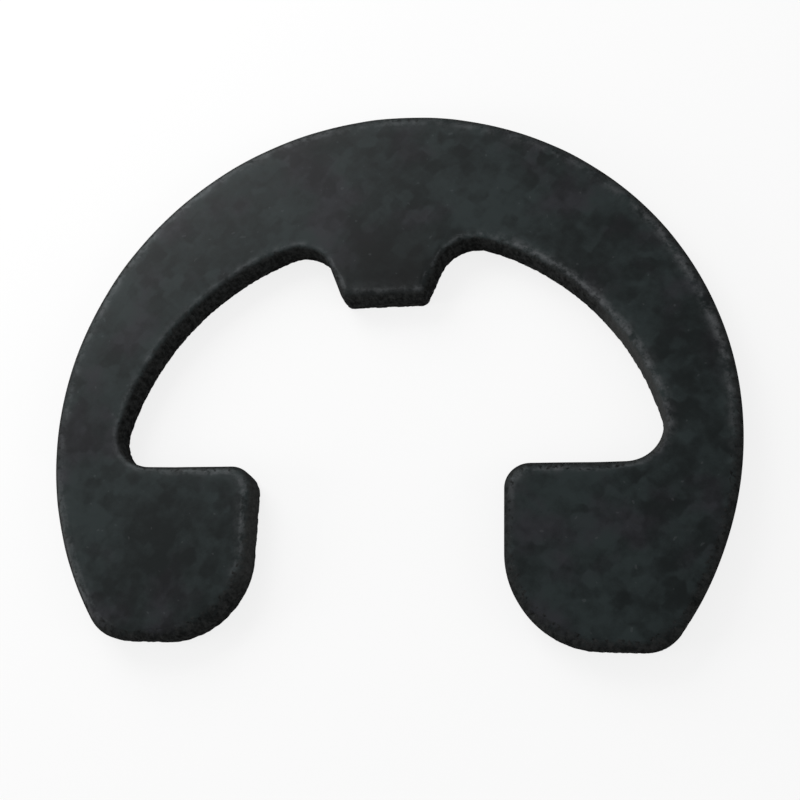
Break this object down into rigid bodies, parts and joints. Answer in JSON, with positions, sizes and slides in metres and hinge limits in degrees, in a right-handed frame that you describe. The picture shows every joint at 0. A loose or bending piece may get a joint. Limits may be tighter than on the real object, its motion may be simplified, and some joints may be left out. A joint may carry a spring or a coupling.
{
  "type": "e clip",
  "caption": "Flat open retaining ring of blackened spring steel, pushed sideways into a shaft's groove to hold parts on the shaft.",
  "frame": {"origin": "axis of the shaft's groove, on the clip's lower face", "axes": "+Z through the thickness, along the shaft; +Y from the groove's axis towards the tooth and the closed back, so the mouth opens towards -Y; +X across the two lugs"},
  "size_m": [0.0134, 0.0109, 0.0006],
  "materials": {
    "blackened_spring_steel": "matte"
  },
  "bodies": {
    "root": {"e_clip": "blackened_spring_steel"}
  },
  "joints": []
}
